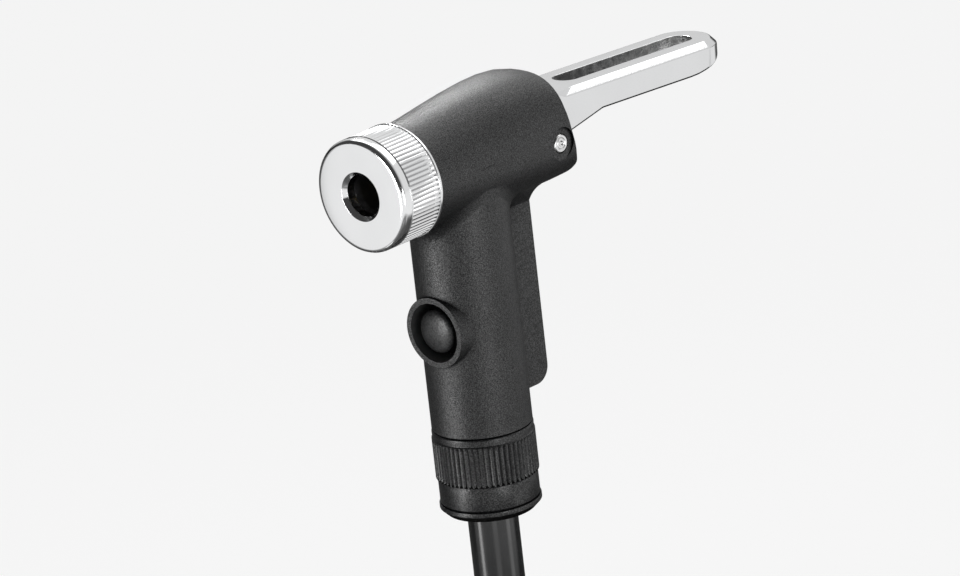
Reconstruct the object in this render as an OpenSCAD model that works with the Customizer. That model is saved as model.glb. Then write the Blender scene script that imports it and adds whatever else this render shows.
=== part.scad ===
// Lever-lock inflator head on its air hose.
// Frame: the valve port opens towards -Y, the lever points towards +Y, +Z is up along the grip.
// The origin is on the port's axis, where its straight wall starts behind the chamfer.

/* [Valve nut] */
// Diameter of the valve nut
nut_d = 24; // [23.2:0.1:25]
// Length of the valve nut from its front face to its back rim
nut_len = 11.5; // [11.2:0.1:11.6]
// Diameter of the valve port
port_d = 8.8; // [8.4:0.1:9.2]
// Length of the port's straight wall
port_len = 2; // [1.6:0.1:2.4]
// Depth of the chamfer round the port
port_chamfer = 0.9; // [0.5:0.1:1.2]
// Radius of the nut's front edge
nut_edge_r = 1; // [0.6:0.1:1.2]
// Length of the smooth band in front of the groove
front_band = 2.4; // [2:0.1:3]
// Width of the groove
groove_w = 0.35; // [0.2:0.05:0.5]
// Depth of the groove
groove_depth = 0.3; // [0.2:0.05:0.5]
// Number of teeth in the nut's knurl
nut_teeth = 78; // [60:1:84]
// Depth of the nut's knurl
nut_knurl_depth = 0.35; // [0.2:0.05:0.5]
// Length of the plain rim behind the knurl
back_rim = 0.7; // [0.4:0.1:1]
// Height of the back rim over the knurl
rim_proud = 0.15; // [0:0.05:0.3]

/* [Clamp] */
// Outer diameter of the rubber grommet
grommet_d = 15.8; // [15:0.1:16.2]
// Length of the grommet when it is squeezed
grommet_len = 8; // [7.6:0.1:8.2]
// Bore of the grommet
grommet_bore = 8.2; // [7.6:0.1:8.6]
// Thickness of the washer behind the grommet
washer_t = 1; // [0.8:0.1:1.4]
// Length of the plunger's piston
piston_len = 6; // [5:0.5:7]
// Diameter of the plunger's stem
stem_d = 6.8; // [6.2:0.1:7.2]
// Diameter of the air way through the plunger
plunger_bore = 4.4; // [3.8:0.1:4.8]
// Stroke of the plunger from clamped to free
stroke = 2.2; // [1.6:0.1:2.4]

/* [Housing] */
// Step from the nut's edge down to the housing behind it
shoulder_step = 0.7; // [0.4:0.05:1]
// Diameter of the grip
grip_d = 21; // [20.6:0.1:22]
// Distance of the grip's axis behind the port
grip_y = 26.5; // [26.3:0.1:26.8]
// Distance from the port's axis down to the end of the grip
grip_len = 57.2; // [56.6:0.1:58]
// Radius of the blend between head and grip
blend_r = 5; // [3.5:0.5:6]
// Thickness of the fin on the back of the grip
fin_t = 4.6; // [4:0.1:4.8]
// Distance of the fin's back edge behind the port
fin_y = 45.4; // [44.6:0.1:45.5]
// Distance from the port's axis down to the end of the fin
fin_len = 53.6; // [50:0.2:53.8]
// Radius of the blend between the fin and the head
fin_blend = 4; // [2.5:0.5:4.5]
// Wall round the air way in the nose
nose_wall = 1.4; // [1.2:0.1:1.5]
// Diameter of the air way in the grip
air_way_d = 8.4; // [8:0.1:8.8]

/* [Lever] */
// Distance of the lever's pin behind the port
pin_y = 47; // [46.8:0.1:47.2]
// Height of the lever's pin over the port's axis
pin_z = -1.6; // [-1.8:0.1:-1.4]
// Diameter of the lever's pin
pin_d = 4.1; // [3.6:0.1:4.3]
// Width of the lever
lever_w = 14.8; // [14.4:0.1:14.9]
// Length of the lever from its pin to its tip
lever_len = 59; // [58:0.5:60]
// Height of the lever's top face over its pin
lever_top = 9.2; // [8.8:0.1:9.3]
// Height of the lever's underside over its pin
lever_under = 2.8; // [2.4:0.1:3.2]
// Slope of the raised lever below the level
lever_tilt = 3.2; // [2:0.2:4]
// Width of the chamfer along the lever's top edges
lever_chamfer = 1.4; // [1:0.1:1.6]
// Length of the curve that rises under the lever's tip
tip_taper = 13; // [9:0.5:15]
// Height through which the underside rises at the tip
tip_rise = 4; // [1.5:0.1:4.4]
// Width of the slot through the lever
slot_w = 5.8; // [5.4:0.1:6]
// Distance from the pin to the near end of the slot
slot_near = 12.4; // [12:0.1:12.8]
// Distance from the pin to the far end of the slot
slot_far = 53.4; // [53:0.1:54]
// Distance from the pin to the cam's follower, clamped
cam_reach = 7; // [6.8:0.1:7.2]
// Angle through which the lever folds
fold_angle = 97; // [90:1:97]

/* [Release button] */
// Diameter of the ring round the button
ring_d = 15; // [14.4:0.1:15.6]
// Diameter of the ring's mouth
ring_bore = 12.7; // [12.4:0.1:12.9]
// Height of the ring over the front of the grip
ring_proud = 0.5; // [0.3:0.1:1]
// Flare of the ring where it meets the grip
ring_flare = 0.8; // [0.4:0.1:1]
// Distance from the port's axis down to the button
button_z = 34.3; // [32:0.1:36]
// Diameter of the button
button_d = 9.2; // [8.6:0.1:9.4]
// Travel of the button
button_travel = 1.2; // [0.8:0.1:1.3]

/* [Hose union] */
// Diameter of the knurled union nut
union_d = 21.5; // [21.2:0.1:22]
// Number of ribs on the union nut
union_ribs = 60; // [54:1:72]
// Length of the union nut
union_len = 10.5; // [10:0.1:11]
// Length of the plain band on top of the union nut
union_band = 1.7; // [1.2:0.1:2.2]
// Diameter of the sleeve under the union nut
sleeve_d = 20.8; // [20.4:0.1:21.2]
// Length of the sleeve
sleeve_len = 5.2; // [4.8:0.1:5.6]
// Length of the rounded end cap
cap_len = 2.6; // [2.2:0.1:3]
// Height of the cap's lip over the sleeve
cap_proud = 0.25; // [0:0.05:0.4]

/* [Hose] */
// Outer diameter of the hose
hose_d = 10.6; // [10.2:0.1:10.8]
// Bore of the hose
hose_bore = 6.2; // [5.8:0.1:6.6]
// Radius of the coil's outer turn
coil_r = 62; // [60:0.5:66]
// Room for each turn beside the last
coil_pitch = 11.4; // [11.3:0.1:12]
// Turns of the lower layer
lower_turns = 1.3; // [1.2:0.05:1.5]
// Width across the flats of the hose's end nut
end_nut_af = 13; // [12.6:0.1:13.4]
// Diameter of the end nut's thread bore
end_thread_d = 9; // [8.6:0.1:9.4]

/* [Hidden] */

$fn = 64;
eps = 0.01;             // overlap of cutters past a face
fit = 0.05;             // running clearance of round fits
pin_fit = 0.02;         // clearance of the fixed pin
seat = 0.3;             // clearance of faces that come to rest apart

// Places along the port's axis
face_y = -port_chamfer;
nut_back = face_y + nut_len;
nut_floor = port_len;
shoulder_y = nut_back + 0.15;
chamber_r = grommet_d / 2 + 0.2;
nose_r = chamber_r + nose_wall;
nose_y = nut_floor + 2.8;
washer_y = nut_floor + grommet_len;
piston_y = washer_y + washer_t;
piston_back = piston_y + piston_len;
follower_y = pin_y - cam_reach - fit;
follower_t = 1.5;
follower_d = 11.2;
chamber_end = grip_y + air_way_d / 2 + 0.1;
pocket_y = follower_y - follower_t - 2.95;
guide_mid = (chamber_end + pocket_y) / 2;
ring_cord = 1.8;        // cord diameter of the seal rings

// Head outline: [y, half width, height over axis, depth under axis, squareness]
front_r = nut_d / 2 - shoulder_step;
HEAD = [
    [shoulder_y, front_r, front_r, front_r, 2],
    [shoulder_y + 3.5, front_r + 0.05, front_r + 0.1, front_r, 2],
    [shoulder_y + 8, front_r + 0.15, front_r + 0.6, front_r, 2.05],
    [shoulder_y + 14, front_r + 0.35, front_r + 1.3, front_r + 0.1, 2.15],
    [shoulder_y + 20, front_r + 0.55, front_r + 1.9, front_r + 0.15, 2.25],
    [shoulder_y + 26, front_r + 0.7, front_r + 2.3, front_r + 0.2, 2.35],
    [shoulder_y + 31, front_r + 0.75, front_r + 2.3, front_r + 0.2, 2.45],
    [shoulder_y + 35, front_r + 0.75, front_r + 1.9, front_r + 0.2, 2.5],
    [shoulder_y + 38, front_r + 0.7, front_r + 1.1, front_r + 0.2, 2.5],
    [shoulder_y + 45, front_r + 0.5, front_r - 1, front_r + 0.2, 2.5]];
head_points = 48;

// Rear edge and underside of the head, seen from the side
cheek_y = pin_y + 5.4;
cheek_z = pin_z - 7.7;
cheek_r = 2;
cavity_w = lever_w + 1;
hood_r = lever_top + 0.55;
cam_room = cam_reach + 0.6;
recess_d = 7;
recess_x = front_r + 0.1;
pin_x = recess_x + 0.2;
stop_y = pin_y - 1.4;

// Lever's chamfers start behind a plain root, with a slanted facet between
root_plain = 3;
facet_len = 4;
run_out = 3.7;

// Cam: constant advance per degree against a flat follower
cam_rate = stroke / (fold_angle * PI / 180);

// Button
ring_y = grip_y - grip_d / 2 - ring_proud;
well_floor = ring_y + 4.8;
button_top = ring_y - 0.1;
button_skirt = well_floor - button_travel - 0.2;
spring_seat = button_skirt - 0.8;
bush_len = 2.5;
bush_d = 5.8;
button_stem_d = 2.2;
seal_t = 0.4;

// Union: places down the grip's axis
union_z = -(grip_len + 0.3);
union_end = union_z - union_len;
sleeve_end = union_end - sleeve_len;
cap_end = sleeve_end - cap_len;
spigot_r = 8.3;
spigot_end = union_z - 6.6;
tail_flange = 1.7;
union_bore_r = 6.9;
joint_r = 8.6;          // radius of the lower fits between nut, sleeve and cap
hose_top = union_end + 0.6;
crimp_t = 0.8;
tail_r = air_way_d / 2 - fit;

// Hose route, from the end cap to the start of the coil
ROUTE = [
    [0, 26.5, cap_end], [0, 26.5, -85], [0, 26.5, -95], [0, 26.5, -105],
    [0.2, 27.7, -116.7], [0.8, 31, -128], [1.5, 36.4, -138.3], [1.9, 43.6, -147.4],
    [1.6, 52.1, -154.9], [0.6, 61.7, -160.4], [-1, 72, -163.9], [-4, 84, -165], [-9.1, 95, -165]];
hose_sides = 10;
coil_heading = atan2(11, -5.1);
coil_start = ROUTE[len(ROUTE) - 1];
coil_turns = (360 * 3 - coil_heading) / 360;
climb_turns = 0.5;
layer_z = hose_d + 0.8;
lift_turns = 0.4;
end_lift = 2.2;
turn_rings = 24;
coil_sides = 6;

function unit(v) = v / norm(v);
function ease(t) = let (c = min(1, max(0, t))) c * c * (3 - 2 * c);

// A row of joined rings of points, closed by a flat face at each end
module loft(rings) {
    n = len(rings[0]);
    m = len(rings);
    sides = [for (i = [0 : m - 2], j = [0 : n - 1]) let (k = (j + 1) % n)
        each [[i * n + j, (i + 1) * n + k, i * n + k], [i * n + j, (i + 1) * n + j, (i + 1) * n + k]]];
    near = [for (j = [1 : n - 2]) [0, j, j + 1]];
    far = [for (j = [1 : n - 2]) [(m - 1) * n, (m - 1) * n + j + 1, (m - 1) * n + j]];
    polyhedron([for (r = rings) each r], concat(sides, near, far));
}

// A round tube along a line of points; side is a direction never in line with it
function tube_rings(line, r, sides, side) = [for (i = [0 : len(line) - 1])
    let (a = line[max(0, i - 1)], b = line[min(len(line) - 1, i + 1)],
        t = unit(b - a), u = unit(cross(side, t)), v = cross(t, u))
    [for (j = [0 : sides - 1]) let (w = 360 * j / sides)
        line[i] + r * (cos(w) * u + sin(w) * v)]];

module along_y() { rotate([-90, 0, 0]) children(); }
module across_x(w) { rotate([90, 0, 90]) translate([0, 0, -w / 2]) linear_extrude(w) children(); }

// Round rod from y0 to y1 on an axis along Y
module y_rod(y0, y1, d, z = 0) {
    translate([0, y0, z]) along_y() cylinder(h = y1 - y0, d = d);
}

// Round rod from z0 up to z1 on the grip's axis
module z_rod(z0, z1, r) { translate([0, grip_y, z0]) cylinder(h = z1 - z0, r = r); }

module ring_seal(r_inner, cord) {
    rotate_extrude() translate([r_inner + cord / 2, 0]) circle(d = cord, $fn = 24);
}

// Straight knurl: a star of shallow teeth drawn along its axis
module knurl(r, depth, teeth, h) {
    linear_extrude(h) polygon([for (i = [0 : 2 * teeth - 1]) let (w = 180 * i / teeth)
        (i % 2 == 0 ? r : r - depth) * [cos(w), sin(w)]]);
}

// Round arc of points
function arc(c, r, a0, a1, n = 8) = [for (i = [0 : n]) let (a = a0 + (a1 - a0) * i / n)
    c + r * [cos(a), sin(a)]];

module spring(r, wire_r, length, turns) {
    rings_per_turn = 8;
    count = turns * rings_per_turn;
    line = [for (i = [0 : count]) let (w = 360 * i / rings_per_turn)
        [r * cos(w), r * sin(w), wire_r + (length - 2 * wire_r) * i / count]];
    loft(tube_rings(line, wire_r, 6, [0, 0, 1]));
}

function power(v, n) = sign(v) * pow(abs(v), n);
function head_ring(h) = [for (j = [0 : head_points - 1]) let (w = -360 * j / head_points)
    [h[1] * power(cos(w), 2 / h[4]), h[0], (sin(w) > 0 ? h[2] : h[3]) * power(sin(w), 2 / h[4])]];

// Size of the head's outline at y: column k of HEAD
function head_at(y, k) = lookup(y, [for (h = HEAD) [h[0], h[k]]]);
function belly(x, y) = let (a = head_at(y, 1), b = head_at(y, 3), n = head_at(y, 4))
    -b * pow(max(0, 1 - pow(min(1, abs(x) / a), n)), 1 / n);

// Concave blend between grip and head, as a ring of curved strips
module head_blend() {
    steps = 6;
    count = 48;
    sink = 0.12;
    r = grip_d / 2 - sink;
    strips = [for (i = [0 : count - 1]) let (
            w = 360 * i / count, d = [cos(w), sin(w)],
            spread = blend_r * (1 - 0.72 * d[0] * d[0]),
            drop = blend_r * (1 - 0.3 * d[0] * d[0]),
            corner_z = belly(r * d[0], grip_y + r * d[1]),
            out = r + spread,
            low = [r * d[0], grip_y + r * d[1], corner_z - drop],
            corner = [r * d[0], grip_y + r * d[1], corner_z],
            high = [out * d[0], grip_y + out * d[1], belly(out * d[0], grip_y + out * d[1]) + sink])
        [for (k = [0 : steps]) let (t = k / steps)
            (1 - t) * (1 - t) * low + 2 * t * (1 - t) * corner + t * t * high]];
    inner = 5;
    base_z = -front_r - 2 * blend_r;
    top_z = 0;
    loft(concat(
        [[for (s = strips) [s[0][0], s[0][1], base_z]]],
        [for (k = [0 : steps]) [for (s = strips) s[k]]],
        [[for (i = [0 : count - 1]) let (w = 360 * i / count)
            [inner * cos(w), grip_y + inner * sin(w), top_z]]]));
}

module head_side() {
    top = head_at(pin_y, 2) + 3;
    polygon(concat(
        [[shoulder_y, top], [shoulder_y, -front_r - 3], [pin_y - 9, -front_r - 3], [pin_y - 5, cheek_z - 0.5]],
        arc([cheek_y - cheek_r, cheek_z + cheek_r], cheek_r, -90, 5, 6),
        [[pin_y + 4.6, pin_z - 3.6], [pin_y + 3.2, pin_z + 1.8], [pin_y + 2.3, pin_z + 7]],
        [[pin_y + 2.1, pin_z + 11], [pin_y + 2, top]]));
}

// Room for the lever's root: under the hood, round the cam and open to the back
module lever_room() {
    axis = [pin_y, pin_z];
    across_x(cavity_w) polygon(concat(
        arc(axis, hood_r, 180, 90, 8),
        [[pin_y + 20, pin_z + hood_r], [pin_y + 20, pin_z - 14], [stop_y, pin_z - 14]],
        [[stop_y, pin_z - cam_room * cos(asin((pin_y - stop_y) / cam_room))]],
        arc(axis, cam_room, 259, 180, 6)));
}

// Fin on the back of the grip, with a hollow blend into the underside of the head
module fin() {
    corner = 3.5;
    half = fin_t / 2;
    out = half + fin_blend;
    root_z = belly(out, fin_y) + 0.12;
    across_x(fin_t) polygon(concat(
        [[grip_y, -front_r + 1], [grip_y, -fin_len]],
        arc([fin_y - corner, -fin_len + corner], corner, -90, 0, 6),
        [[fin_y, -front_r + 1]]));
    low = [half, root_z - fin_blend];
    high = [out, root_z];
    middle = (low + high) / 2 + [-fin_blend, fin_blend] / 7;
    side = [for (t = [0 : 0.2 : 1]) (1 - t) * (1 - t) * low + 2 * t * (1 - t) * middle + t * t * high];
    translate([0, grip_y, 0]) along_y() linear_extrude(fin_y - grip_y) polygon(concat(
        [for (p = side) [p[0], -p[1]]], [[out, 6], [-out, 6]],
        [for (i = [5 : -1 : 0]) [-side[i][0], -side[i][1]]]));
}

// Ring round the button, flared where it meets the grip
module button_ring() {
    depth = grip_d / 2;
    flare = [for (t = [0 : 0.5 : 6]) [ring_d / 2 + ring_flare * pow(t / 6, 2), ring_y + t]];
    translate([0, 0, -button_z]) along_y() rotate_extrude() polygon(concat(
        [[0, ring_y]], flare, [[ring_d / 2, ring_y + depth], [0, ring_y + depth]]));
}

module housing() {
    color("#2b2c2e") difference() {
        union() {
            intersection() {
                loft([for (h = HEAD) head_ring(h)]);
                across_x(nut_d + 10) head_side();
            }
            z_rod(-grip_len, -front_r / 2, grip_d / 2);
            head_blend();
            fin();
            button_ring();
            y_rod(nose_y, grip_y, 2 * nose_r);
            z_rod(spigot_end, -grip_len + 1, spigot_r);
        }
        y_rod(nose_y - 1, chamber_end, 2 * chamber_r);
        y_rod(nose_y, pocket_y + 1, stem_d + 2 * fit);
        y_rod(guide_mid - ring_cord / 2 - 0.15, guide_mid + ring_cord / 2 + 0.15, stem_d + 2 * ring_cord + 0.4);
        y_rod(pocket_y, pin_y - cam_room / 2, follower_d + 0.8);
        lever_room();
        translate([-20, pin_y, pin_z]) rotate([0, 90, 0]) cylinder(h = 40, d = pin_d + 2 * pin_fit);
        for (s = [-1, 1]) translate([s * (recess_x + 5), pin_y, pin_z]) rotate([0, 90, 0])
            cylinder(h = 10, d = recess_d, center = true);
        z_rod(spigot_end - 1, -chamber_r / 2, air_way_d / 2);
        translate([0, ring_y - eps, -button_z]) along_y()
            cylinder(h = well_floor - ring_y + eps, d1 = ring_bore, d2 = ring_bore - 0.9);
        y_rod(well_floor - 1, grip_y, bush_d + 2 * pin_fit, -button_z);
    }
}

module valve_nut() {
    r = nut_d / 2;
    groove_y = face_y + front_band;
    knurl_y = groove_y + groove_w;
    rim_y = nut_back - back_rim;
    port_r = port_d / 2;
    root = r - nut_knurl_depth - 0.1;
    thread_r = nose_r + fit;
    color("#d9dadc") difference() {
        union() {
            along_y() rotate_extrude() polygon(concat(
                [[0, face_y]],
                arc([r - nut_edge_r, face_y + nut_edge_r], nut_edge_r, -90, 0, 6),
                [[r, groove_y], [r - groove_depth, groove_y + groove_w / 2], [root, knurl_y]],
                [[root, rim_y], [r + rim_proud, rim_y], [r + rim_proud, nut_back - 0.2]],
                [[r + rim_proud - 0.2, nut_back], [0, nut_back]]));
            translate([0, knurl_y, 0]) along_y() knurl(r, nut_knurl_depth, nut_teeth, rim_y - knurl_y);
        }
        y_rod(face_y - 1, nut_floor + 1, port_d);
        translate([0, face_y - eps, 0]) along_y()
            cylinder(h = port_chamfer + eps, r1 = port_r + 0.8 + eps, r2 = port_r);
        y_rod(nut_floor, nut_back + 1, 2 * chamber_r);
        y_rod(nose_y - seat, nut_back + 1, 2 * thread_r);
    }
}

module valve_grommet() {
    r = grommet_d / 2;
    b = grommet_bore / 2;
    lead = 0.6;
    color("#3a3a3b") along_y() rotate_extrude() polygon([
        [b + lead, nut_floor], [r, nut_floor], [r, washer_y], [b + lead, washer_y],
        [b, washer_y - lead], [b, nut_floor + lead]]);
}

module grommet_washer() {
    color("#c9a55a") difference() {
        y_rod(washer_y, piston_y, grommet_d - 0.2);
        y_rod(washer_y - 1, piston_y + 1, grommet_bore + 0.2);
    }
}

module plunger() {
    groove_y = piston_y + piston_len / 2;
    color("#b9babd") difference() {
        union() {
            y_rod(piston_y, piston_back, 2 * chamber_r - 2 * fit);
            y_rod(piston_y, follower_y - follower_t, stem_d);
            y_rod(follower_y - follower_t - 1, follower_y - 0.6, 4);
        }
        y_rod(piston_y - 1, chamber_end - 2, plunger_bore);
        for (w = [0, 90]) translate([0, chamber_end - 4.5, 0]) rotate([0, w, 0])
            cylinder(h = 2 * stem_d, d = 2.4, center = true);
        difference() {
            y_rod(groove_y - ring_cord / 2 - 0.15, groove_y + ring_cord / 2 + 0.15, 4 * chamber_r);
            y_rod(groove_y - ring_cord, groove_y + ring_cord, 2 * (chamber_r - fit - ring_cord));
        }
    }
}

module piston_o_ring() {
    color("#1c1c1d") translate([0, piston_y + piston_len / 2, 0]) along_y()
        ring_seal(chamber_r - 0.04 - ring_cord, ring_cord);
}

module core_pin() {
    base = 2;
    color("#d4b463") difference() {
        union() {
            y_rod(piston_y + 0.5, piston_y + 0.5 + base, plunger_bore - 2 * pin_fit);
            y_rod(washer_y - 3, piston_y + 1, 2);
            translate([0, washer_y - 3, 0]) along_y() cylinder(h = 1, d1 = 1.4, d2 = 2);
        }
        for (w = [0 : 120 : 240]) rotate([0, w, 0]) y_rod(piston_y - 1, piston_y + 4, 0.9, 1.55);
    }
}

module cam_follower() {
    color("#b9babd") difference() {
        y_rod(follower_y - follower_t, follower_y, follower_d);
        y_rod(follower_y - follower_t - 1, follower_y - 0.5, 4 + 2 * pin_fit);
    }
}

module plunger_spring() {
    length = follower_y - follower_t - pocket_y;
    color("#9a9da1") translate([0, pocket_y + 0.05, 0]) along_y() spring(4.7, 0.35, length - 0.1, 3);
}

module stem_o_ring() {
    color("#1c1c1d") translate([0, guide_mid, 0]) along_y() ring_seal(stem_d / 2 + 0.04, ring_cord);
}

// Cam outline about the pin: the point touched after the lever folds by a degrees
function cam_point(a) = let (h = cam_reach - cam_rate * a * PI / 180)
    [-h * cos(a) - cam_rate * sin(a), -h * sin(a) + cam_rate * cos(a)];

function tilted(p) = [p[0] * cos(lever_tilt) + p[1] * sin(lever_tilt),
    p[1] * cos(lever_tilt) - p[0] * sin(lever_tilt)];

module lever_side() {
    end = lever_len + 2;
    tip_arc = (pow(tip_taper, 2) + pow(tip_rise, 2)) / (2 * tip_rise);
    under = concat(
        [[7.6, 0.3]],
        arc([18.6, lever_under - 8.4], 8.4, 96, 90, 3),
        arc([lever_len - tip_taper, lever_under + tip_arc], tip_arc, -90, asin(tip_taper / tip_arc) - 90, 6));
    polygon(concat(
        [for (a = [0 : fold_angle / 12 : fold_angle + 1]) cam_point(a)],
        [for (p = under) tilted(p)],
        [tilted([end, lever_under + tip_rise]), tilted([end, lever_top]), tilted([-0.6, lever_top])],
        [[-3.6, 8.3], [-5.7, 6.2], [-6.8, 3.6]]));
}

// Outline of the lever from above
module lever_plan() {
    r = lever_w / 2;
    polygon(concat([[-r, -20], [r, -20]], arc([0, lever_len - r], r, 0, 180, 32)));
}

// What is cut off at 45 degrees along the top edges, from a slanted facet at the root to the round tip
module lever_edges() {
    r = lever_w / 2;
    c = lever_chamfer;
    tip_y = lever_len - r;
    over = 1;
    a = [r, root_plain, lever_top];
    b = [r, root_plain + facet_len, lever_top - c];
    n = cross(b - a, [r - c, root_plain + facet_len + run_out, lever_top] - a);
    triangle = [[r + over, lever_top - c - over], [r - c - over, lever_top + over], [r + over, lever_top + over]];
    for (s = [-1, 1]) scale([s, 1, 1]) loft([
        [for (p = triangle) [p[0], a[1] - (n[0] * (p[0] - a[0]) + n[2] * (p[1] - a[2])) / n[1], p[1]]],
        [for (p = triangle) [p[0], tip_y + over / 4, p[1]]]]);
    translate([0, tip_y, 0]) rotate_extrude(angle = 180) polygon([
        [r - c - over, lever_top + over], [r + 2, lever_top + over], [r + 2, lever_top - c - 2]]);
}

module lever() {
    slot_r = slot_w / 2;
    color("#dcdee0") translate([0, pin_y, pin_z]) difference() {
        intersection() {
            across_x(lever_w) lever_side();
            rotate([-lever_tilt, 0, 0]) translate([0, 0, -20]) linear_extrude(40) lever_plan();
        }
        rotate([-lever_tilt, 0, 0]) lever_edges();
        rotate([-lever_tilt, 0, 0]) translate([0, 0, -10]) {
            for (u = [slot_near + slot_r, slot_far - slot_r]) translate([0, u, 0]) cylinder(h = 30, r = slot_r);
            translate([-slot_r, slot_near + slot_r, 0]) cube([slot_w, slot_far - slot_near - slot_w, 30]);
        }
        rotate([0, 90, 0]) cylinder(h = 2 * lever_w, d = pin_d + 2 * fit, center = true);
    }
}

module lever_pin() {
    dimple = 0.5;
    color("#c9cbce") translate([0, pin_y, pin_z]) rotate([0, 90, 0]) rotate_extrude() polygon([
        [0, -pin_x + dimple], [dimple, -pin_x], [pin_d / 2 - 0.3, -pin_x], [pin_d / 2, -pin_x + 0.3],
        [pin_d / 2, pin_x - 0.3], [pin_d / 2 - 0.3, pin_x], [dimple, pin_x], [0, pin_x - dimple]]);
}

module lever_washers() {
    t = (cavity_w - lever_w) / 2 - 2 * fit;
    color("#e8e6df") for (s = [-1, 1])
        translate([s * (lever_w / 2 + fit + t / 2), pin_y, pin_z]) rotate([0, 90, 0]) difference() {
            cylinder(h = t, d = 2.6 * pin_d, center = true);
            cylinder(h = 2, d = pin_d + 2 * fit, center = true);
        }
}

module release_button() {
    r = button_d / 2;
    dome = 1.3;
    color("#2b2c2e") translate([0, 0, -button_z]) along_y() rotate_extrude() polygon(concat(
        [for (a = [90 : -10 : 0]) [r * cos(a), button_top + dome * (1 - sin(a))]],
        [[r, button_skirt], [r - 1, button_skirt], [r - 1, spring_seat]],
        [[button_stem_d / 2 + pin_fit, spring_seat], [button_stem_d / 2 + pin_fit, spring_seat - 0.9]],
        [[0, spring_seat - 0.9]]));
}

module button_stem() {
    head_y = well_floor + bush_len + seal_t;
    color("#d4b463") union() {
        y_rod(spring_seat - 0.8, head_y + 0.5, button_stem_d, -button_z);
        y_rod(head_y, head_y + 1, 4, -button_z);
    }
}

module button_seal() {
    y = well_floor + bush_len;
    color("#1c1c1d") difference() {
        y_rod(y, y + seal_t, 4.4, -button_z);
        y_rod(y - 1, y + 1, button_stem_d + 2 * fit, -button_z);
    }
}

module button_spring() {
    color("#9a9da1") translate([0, spring_seat + 0.05, -button_z]) along_y()
        spring(2.2, 0.25, well_floor - spring_seat - 0.1, 2.5);
}

module button_bush() {
    color("#d4b463") difference() {
        y_rod(well_floor, well_floor + bush_len, bush_d, -button_z);
        y_rod(well_floor - 1, well_floor + bush_len + 1, button_stem_d + 2 * fit, -button_z);
    }
}

module union_nut() {
    rib = 0.3;
    root = union_d / 2 - rib - 0.1;
    color("#252628") difference() {
        union() {
            z_rod(union_end, union_z, root);
            translate([0, grip_y, union_end]) knurl(union_d / 2, rib, union_ribs, union_len - union_band);
            z_rod(union_z - union_band + 0.3, union_z, root + 0.25);
            z_rod(union_end - 3, union_end + 1, joint_r);
        }
        z_rod(spigot_end - tail_flange, union_z + 1, spigot_r + fit);
        z_rod(union_end - 4, union_z, union_bore_r);
    }
}

module hose_sleeve() {
    color("#252628") difference() {
        z_rod(sleeve_end, union_end, sleeve_d / 2);
        z_rod(sleeve_end - 1, union_end + 1, joint_r + fit);
    }
}

module end_cap() {
    r = sleeve_d / 2 + cap_proud;
    seat_r = sleeve_d / 2 - 0.3;
    inner = hose_d / 2 + 0.1;
    lip_end = cap_end + 1.3;
    under = [for (t = [0.2 : 0.2 : 1]) [r - (r - inner - 0.8) * t, lip_end - (lip_end - cap_end) * sqrt(t)]];
    color("#252628") translate([0, grip_y, 0]) rotate_extrude() polygon(concat(
        [[inner, sleeve_end + 1.8], [joint_r, sleeve_end + 1.8]],
        [[joint_r, sleeve_end], [seat_r, sleeve_end], [seat_r, sleeve_end - 0.3], [r - 0.1, sleeve_end - 0.3]],
        [[r, sleeve_end - 0.4], [r, lip_end + 0.1], [r - 0.1, lip_end]], under, [[inner, cap_end]]));
}

// Hose tail: a flange held by the union nut, a spigot in the grip and a barbed end in the hose
module hose_tail() {
    flange_z = spigot_end - tail_flange;
    barb_r = hose_bore / 2 - pin_fit;
    barb_end = cap_end + 2;
    groove_z = spigot_end + 3.5;
    color("#c9a55a") difference() {
        union() {
            z_rod(flange_z, spigot_end, spigot_r);
            z_rod(flange_z, spigot_end + 6, tail_r);
            z_rod(barb_end, flange_z + 0.5, barb_r);
        }
        z_rod(barb_end - 1, spigot_end + 7, 1.8);
        difference() {
            z_rod(groove_z - 0.9, groove_z + 0.9, 2 * tail_r);
            z_rod(groove_z - 1, groove_z + 1, tail_r - 1.5);
        }
    }
}

module tail_o_ring() {
    color("#1c1c1d") translate([0, grip_y, spigot_end + 3.5]) ring_seal(tail_r - 1.5 + 0.02, 1.5);
}

module hose_crimp() {
    color("#b9babd") difference() {
        z_rod(sleeve_end + 2, hose_top, hose_d / 2 + 0.1 + crimp_t);
        z_rod(sleeve_end + 1, hose_top + 1, hose_d / 2 + 0.1);
    }
}

module hose_root() {
    color("#1b1b1c") difference() {
        z_rod(cap_end, hose_top, hose_d / 2);
        z_rod(cap_end - 1, hose_top + 1, hose_bore / 2);
    }
}

module hose() {
    color("#1b1b1c") loft(tube_rings(ROUTE, hose_d / 2, hose_sides, [1, 0, 0]));
}

// Middle line of the coil: a straight lead, the lower layer inwards, a climb of half a turn
// where the spiral reverses, the upper layer outwards and a straight end
heading = [cos(coil_heading), sin(coil_heading), 0];
coil_mid = coil_start + hose_d * heading + coil_r * [-heading[1], heading[0], 0];
reverse_r = coil_r - coil_pitch * lower_turns;
upper_start = lower_turns + climb_turns;
function turn_r(t) = t < lower_turns ? coil_r - coil_pitch * t
    : t < upper_start ? let (u = t - lower_turns) reverse_r - coil_pitch * u * (1 - u / climb_turns)
    : reverse_r + coil_pitch * (t - upper_start);
function turn_z(t) = layer_z * ease((t - lower_turns) / climb_turns)
    + end_lift * ease((t - coil_turns + lift_turns) / lift_turns);
function turn_point(t) = let (w = coil_heading - 90 + 360 * t)
    coil_mid + [turn_r(t) * cos(w), turn_r(t) * sin(w), turn_z(t)];
coil_steps = round(coil_turns * turn_rings);
coil_turning = [for (i = [0 : coil_steps]) turn_point(coil_turns * i / coil_steps)];
coil_end = coil_turning[coil_steps] + [hose_d, 0, 0];
coil_line = concat([coil_start], coil_turning, [coil_end]);

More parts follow.
